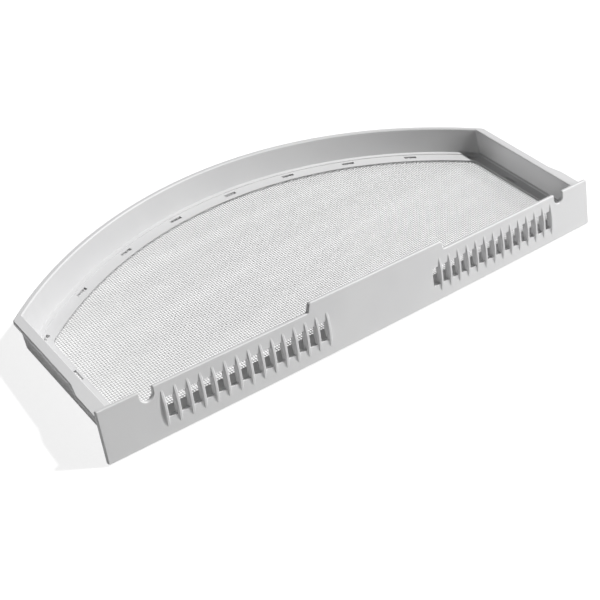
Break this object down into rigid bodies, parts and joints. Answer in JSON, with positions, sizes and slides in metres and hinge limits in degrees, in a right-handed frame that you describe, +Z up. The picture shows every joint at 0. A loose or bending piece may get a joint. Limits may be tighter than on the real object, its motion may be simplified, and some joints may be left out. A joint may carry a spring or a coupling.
{
  "type": "tumble dryer lint filter",
  "caption": "Half-moon tray filter for a tumble dryer: a moulded frame with a ribbed front panel, and a woven screen moulded into its open floor to catch lint.",
  "frame": {"origin": "under the middle of the part, on the surface that it stands on", "axes": "+X along the front panel, to the right of someone facing it; +Y from the panel to the round back; +Z up"},
  "size_m": [0.402, 0.1855, 0.0381],
  "materials": {
    "frame_plastic": "satin moulded",
    "screen_weave": "woven polyamide"
  },
  "bodies": {
    "root": {"filter_frame": "frame_plastic", "mesh_screen": "screen_weave"}
  },
  "joints": []
}
